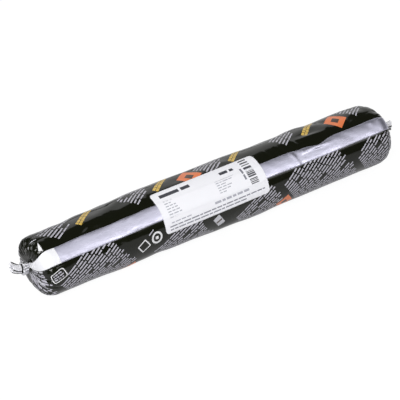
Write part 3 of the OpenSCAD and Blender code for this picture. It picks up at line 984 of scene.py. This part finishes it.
class SAUSAGE_OT_label(Operator):
    """Add the paper label, which steps over the strip, and its plain printed bars"""

    bl_idname = "sausage.label"
    bl_label = "Add Label"

    def execute(self, context):
        s = context.scene.sausage_label
        curl = s.edge_curl / MM
        inset = LABEL_CORNER * (1 - np.cos(np.linspace(0, math.pi / 2, 9)))
        straight = np.linspace(LABEL_CORNER - LABEL_LEN / 2, LABEL_LEN / 2 - LABEL_CORNER, 61)[1:-1]
        u = np.concatenate([inset - LABEL_LEN / 2, straight, (LABEL_LEN / 2 - inset)[::-1]])
        gone = np.maximum(0, LABEL_CORNER - (LABEL_LEN / 2 - np.abs(u)))
        reach = LABEL_W / 2 - LABEL_CORNER + np.sqrt(np.maximum(0, LABEL_CORNER**2 - gone**2))
        share = np.linspace(-1, 1, 61)
        uu, vv = np.broadcast_arrays(u[:, None], reach[:, None] * share[None, :])
        lifted = curl * ease((uu - 40) / 8) * ease((-vv - 9) / 8)
        lifted = lifted + 0.4 * curl * ease((-uu - 42) / 6) * ease((-vv - 11) / 6)
        under = label_point(uu, vv, lifted)
        over = label_point(uu, vv, lifted + LABEL_T)
        points, faces = sheet_mesh(under, over)
        thing = make_object("paper_label", points, faces, [paper_material(s.paper_colour)])
        own(thing, "label")
        if s.show_print:
            self.print_bars(curl)
        return {"FINISHED"}

    def print_bars(self, curl):
        """The bars and stripes that stand for a label's usual fields."""

        def surface(a, b):
            return label_point(a, b, LABEL_T + 0.02 + curl * ease((a - 40) / 8) * ease((-b - 9) / 8))

        rng = np.random.default_rng(3)
        sheet = Print(surface)
        dark, middling, light = range(3)

        def row(x, y, length, longest, space, height, slot, shortest=2.0):
            """One line of small print, broken into words."""
            for at, run in words(rng, length, shortest, longest, space):
                sheet.bar(x + at, y, run, height, 0, slot)

        # The title, and the filling to its right
        sheet.bar(-42, 12.0, 17.5, 2.8, 0, dark)
        sheet.bar(-22.5, 12.0, 8.0, 2.8, 0, dark)
        sheet.bar(13, 11.2, 7.6, 2.5, 0, dark)
        sheet.bar(22.2, 11.0, 3.6, 2.2, 0, dark)
        for number, length in enumerate((8.0, 7.0, 9.0, 10.5, 11.0, 11.5, 8.5)):
            row(-42, 7.2 - number * 2.1, length, 4.2, 0.8, 0.8, light, 1.6)
        sheet.bar(5, 6.4, 18, 0.35, 0, light)
        for number, length in enumerate((16.0, 9.0, 13.0, 11.0, 6.0)):
            row(5, 4.8 - number * 1.9, length, 5.0, 0.8, 0.7, light)
        row(-2, -8.3, 34.0, 6.0, 1.2, 1.7, light)
        row(-42, -9.4, 20.0, 5.0, 0.9, 0.8, light)
        for number, length in enumerate((88.0, 70.0)):
            row(-44, -12.0 - number * 2.4, length, 7.5, 0.8, 0.9, middling)
        # Generic stripes, and the two short bars beside them
        at = 15.6
        while at > -6.5:
            thick = float(rng.choice([0.5, 0.8, 1.2, 1.8]))
            sheet.bar(33.6, at - thick / 2, 7.2, thick, 0, dark)
            at -= thick + float(rng.choice([0.4, 0.5, 0.8, 1.3]))
        sheet.bar(30.8, -0.8, 4.2, 1.7, 90, middling)
        sheet.bar(30.8, 4.2, 4.6, 1.7, 90, middling)
        tones = {"dark": "#46474e", "mid": "#82838d", "light": "#aeafb9"}
        inks = [ink_material(f"thermal_print_{tone}", srgb(code), 0.4) for tone, code in tones.items()]
        thing = make_object("label_bars", np.concatenate(sheet.points), sheet.faces, inks, sheet.slots)
        own(thing, None)


class SAUSAGE_OT_print(Operator):
    """Add the film's print: slanting lines, yellow headings, plain lozenges and outlines"""

    bl_idname = "sausage.film_print"
    bl_label = "Add Film Print"

    def execute(self, context):
        s = context.scene.sausage_print
        sheet = FilmPrint(s)
        sheet.fields()
        sheet.columns()
        sheet.top_groups()
        sheet.gathered_lines()
        sheet.painted_glints()
        sheet.marks()
        # In the order of the slots PALE to DARK
        colours = {
            "pale_grey": s.line_colour,
            "yellow": s.heading_colour,
            "orange": s.lozenge_colour,
            "white": srgb("#e6e6e8"),
            "silver_grey": srgb("#c9c9cf"),
            "dark": srgb("#453428"),
        }
        inks = [ink_material(f"gravure_ink_{name}", colour, 0.3) for name, colour in colours.items()]
        thing = make_object("film_print", np.concatenate(sheet.points), sheet.faces, inks, sheet.slots)
        own(thing, None)
        return {"FINISHED"}


class SAUSAGE_OT_clips(Operator):
    """Add the bent strip clip on each neck, with its die marks and closed legs"""

    bl_idname = "sausage.clips"
    bl_label = "Add Clips"

    def execute(self, context):
        metal = clip_material()
        for side, end in ((-1, "left"), (1, "right")):
            points, faces = self.clip(side)
            own(make_object(f"strip_clip_{end}", points, faces, [metal]), f"clip_{end}")
        return {"FINISHED"}

    def clip(self, side):
        """Points and faces of one clip: a rounded section carried round the neck."""
        inner = NECK_T / 2 + CLIP_CLEARANCE
        bend = NECK_H / 2 + CLIP_CLEARANCE - inner

        def over(end):
            """The bend over the neck's upper end, 1, or under its lower end, -1."""
            turns = [(end * math.cos(t), end * math.sin(t)) for t in np.linspace(0, math.pi, 31)]
            return [(-inner * c, end * bend + inner * n, -c, n) for c, n in turns]

        path = [(-inner, z, -1, 0) for z in np.linspace(LEG_GAP / 2, bend, 15)[:-1]] + over(1)
        path += [(inner, z, 1, 0) for z in np.linspace(bend, -bend, 21)[1:-1]] + over(-1)
        path += [(-inner, z, -1, 0) for z in np.linspace(-bend, -LEG_GAP / 2, 15)[1:]]
        path = np.array(path)
        section = []
        for cx, cy, start in (
            (CLIP_T - CLIP_EDGE, CLIP_W - CLIP_EDGE, 0),
            (CLIP_EDGE, CLIP_W - CLIP_EDGE, 90),
            (CLIP_EDGE, CLIP_EDGE, 180),
            (CLIP_T - CLIP_EDGE, CLIP_EDGE, 270),
        ):
            for i in range(7):
                t = math.radians(start + 15 * i)
                section.append((cx + CLIP_EDGE * math.cos(t), cy + CLIP_EDGE * math.sin(t)))
        section = np.array(section)
        leg = np.abs(path[:, 1])
        on_leg = path[:, 0] < 0
        mark = np.where(on_leg, 0.42 * np.exp(-(((leg - DIE_MARK) / 0.42) ** 2)), 0.0)
        mark += np.where(on_leg, 0.75 * np.exp(-(((leg - LEG_GAP / 2) / 0.5) ** 2)), 0.0)
        mark += np.where(~on_leg, 0.16 * np.exp(-((leg / 0.8) ** 2)), 0.0)
        outer = ease(section[:, 0] / CLIP_T)
        r = section[None, :, 0] - mark[:, None] * outer[None, :]
        y = path[:, 0, None] + path[:, 2, None] * r
        z = path[:, 1, None] + path[:, 3, None] * r
        start = SHOULDER + (LEFT_DOME_H if side < 0 else RIGHT_DOME_H) + NECK_LEN
        x = np.broadcast_to(side * (start + section[None, :, 1]), y.shape)
        z = z + float(ring(side * (SHOULDER + DOME_PATH))["z"])
        grid = np.stack([x, y, z], -1)
        rows, cols = grid.shape[:2]
        points = np.concatenate([grid.reshape(-1, 3), grid[0].mean(0)[None], grid[-1].mean(0)[None]])
        faces = grid_faces(rows, cols, closed=True)
        first, last = rows * cols, rows * cols + 1
        faces += [[first, (j + 1) % cols, j] for j in range(cols)]
        faces += [[last, (rows - 1) * cols + j, (rows - 1) * cols + (j + 1) % cols] for j in range(cols)]
        return points, faces


# Soft lamps: name, place in metres, width, depth, power in watts, roll in degrees
LAMPS = (
    ("key_lamp", (-1.0, -1.0, 1.02), 0.4, 0.4, 6.6, 0),
    ("key_fill", (-1.35, -0.85, 0.80), 0.9, 0.5, 14.0, 0),
    ("top_softbox", (-0.6, 0.1, 1.3), 0.6, 0.6, 6.0, 0),
    ("low_softbox", (0.64, -1.25, 0.72), 1.2, 0.34, 3.2, 0),
    ("front_card", (0.64, -0.84, 1.22), 1.1, 1.1, 3.9, 0),
    ("back_card", (0.78, 1.04, 0.54), 1.7, 1.0, 4.3, 10),
)


class SAUSAGE_OT_studio(Operator):
    """Add the pale floor, the soft lamps, the world and the camera"""

    bl_idname = "sausage.studio"
    bl_label = "Add Studio"

    def execute(self, context):
        self.floor()
        self.world(context)
        for lamp in LAMPS:
            self.lamp(*lamp)
        self.camera(context)
        return {"FINISHED"}

    def floor(self):
        """Paper sweep: close to plain white for the camera, with the pack's contact shadow,
        and dimmer in what the pack mirrors of it."""
        material = bpy.data.materials.new("white_paper_sweep")
        material.use_nodes = True
        tree = material.node_tree
        shader = tree.nodes["Principled BSDF"]
        shader.inputs["Base Color"].default_value = srgb("#cdcdd0")
        shader.inputs["Roughness"].default_value = 0.7
        rays = add(tree, "ShaderNodeLightPath")
        glow = add(tree, "ShaderNodeEmission", {"Color": (1.0, 1.0, 1.0, 1.0), "Strength": 1.17})
        # The share of its glow in what the camera sees, and in what the pack mirrors
        seen, mirrored = (
            add(tree, "ShaderNodeMath", {0: rays.outputs[kind], 1: part}, operation="MULTIPLY")
            for kind, part in (("Is Camera Ray", 0.8), ("Is Glossy Ray", 0.3))
        )
        larger = {0: seen.outputs["Value"], 1: mirrored.outputs["Value"]}
        share = add(tree, "ShaderNodeMath", larger, operation="MAXIMUM")
        both = {0: share.outputs["Value"], 1: shader.outputs["BSDF"], 2: glow.outputs["Emission"]}
        mix = add(tree, "ShaderNodeMixShader", both)
        tree.links.new(mix.outputs["Shader"], tree.nodes["Material Output"].inputs["Surface"])
        size, below = 3000.0, -0.05
        points = [(x * size, y * size, below) for x, y in ((-1, -1), (1, -1), (1, 1), (-1, 1))]
        floor = make_object("paper_floor", points, [[0, 1, 2, 3]], [material])

    def world(self, context):
        """Plain white seen by the camera, and a dim even fill for everything else."""
        world = bpy.data.worlds.new("studio_fill")
        world.use_nodes = True
        tree = world.node_tree
        tree.nodes.clear()
        rays = add(tree, "ShaderNodeLightPath")
        # Its strength as a fill for the pack, and as the camera sees it
        fill, seen = (
            add(tree, "ShaderNodeBackground", {"Color": (1.0, 1.0, 1.0, 1.0), "Strength": strength})
            for strength in (0.08, 1.0)
        )
        both = {1: fill.outputs["Background"], 2: seen.outputs["Background"]}
        both[0] = rays.outputs["Is Camera Ray"]
        mix = add(tree, "ShaderNodeMixShader", both)
        add(tree, "ShaderNodeOutputWorld", {"Surface": mix.outputs["Shader"]})
        context.scene.world = world

    def lamp(self, name, where, width, depth, power, roll):
        """One soft rectangular lamp that faces the pack, rolled by some degrees."""
        data = bpy.data.lights.new(name, "AREA")
        data.shape = "RECTANGLE"
        data.size, data.size_y, data.energy = width, depth, power
        lamp = bpy.data.objects.new(name, data)
        bpy.context.scene.collection.objects.link(lamp)
        lamp.location = where
        lamp.rotation_mode = "QUATERNION"
        facing = (Vector((0, 0, 0.02)) - Vector(where)).to_track_quat("-Z", "Y")
        lamp.rotation_quaternion = facing @ Quaternion((0, 0, 1), math.radians(roll))
        lamp.visible_camera = False

    def camera(self, context):
        s = context.scene.sausage_studio
        a, e = s.azimuth, s.elevation
        back = Vector((math.sin(a) * math.cos(e), -math.cos(a) * math.cos(e), math.sin(e)))
        data = bpy.data.cameras.new("studio_camera")
        data.sensor_width, data.lens = 36.0, s.lens
        data.clip_start, data.clip_end = 0.05, 20.0
        camera = bpy.data.objects.new("studio_camera", data)
        context.scene.collection.objects.link(camera)
        camera.location = Vector(s.look_at) + back * s.distance
        camera.rotation_mode = "QUATERNION"
        camera.rotation_quaternion = (-back).to_track_quat("-Z", "Y")
        context.scene.camera = camera
        context.scene.view_settings.view_transform = "Standard"


class SAUSAGE_PT_panel(Panel):
    """Lists the pieces that can be added"""

    bl_label = "Sausage Pack"
    bl_idname = "SAUSAGE_PT_panel"
    bl_space_type = "VIEW_3D"
    bl_region_type = "UI"
    bl_category = "Sausage"

    def draw(self, context):
        for operator in OPERATORS:
            self.layout.operator(operator.bl_idname)


SETTINGS = {
    "sausage_film": FilmSettings,
    "sausage_print": PrintSettings,
    "sausage_label": LabelSettings,
    "sausage_studio": StudioSettings,
}
OPERATORS = (
    SAUSAGE_OT_casing,
    SAUSAGE_OT_strip,
    SAUSAGE_OT_print,
    SAUSAGE_OT_label,
    SAUSAGE_OT_clips,
    SAUSAGE_OT_studio,
)
CLASSES = (*SETTINGS.values(), *OPERATORS, SAUSAGE_PT_panel)


def register():
    for cls in CLASSES:
        bpy.utils.register_class(cls)
    for name, group in SETTINGS.items():
        setattr(bpy.types.Scene, name, PointerProperty(type=group))


def unregister():
    for name in SETTINGS:
        delattr(bpy.types.Scene, name)
    for cls in reversed(CLASSES):
        bpy.utils.unregister_class(cls)


def main():
    register()
    for step in (
        bpy.ops.sausage.casing,
        bpy.ops.sausage.strip,
        bpy.ops.sausage.film_print,
        bpy.ops.sausage.label,
        bpy.ops.sausage.clips,
        bpy.ops.sausage.studio,
    ):
        if step() != {"FINISHED"}:
            raise RuntimeError("a step of the build did not finish")


if __name__ == "__main__":
    main()
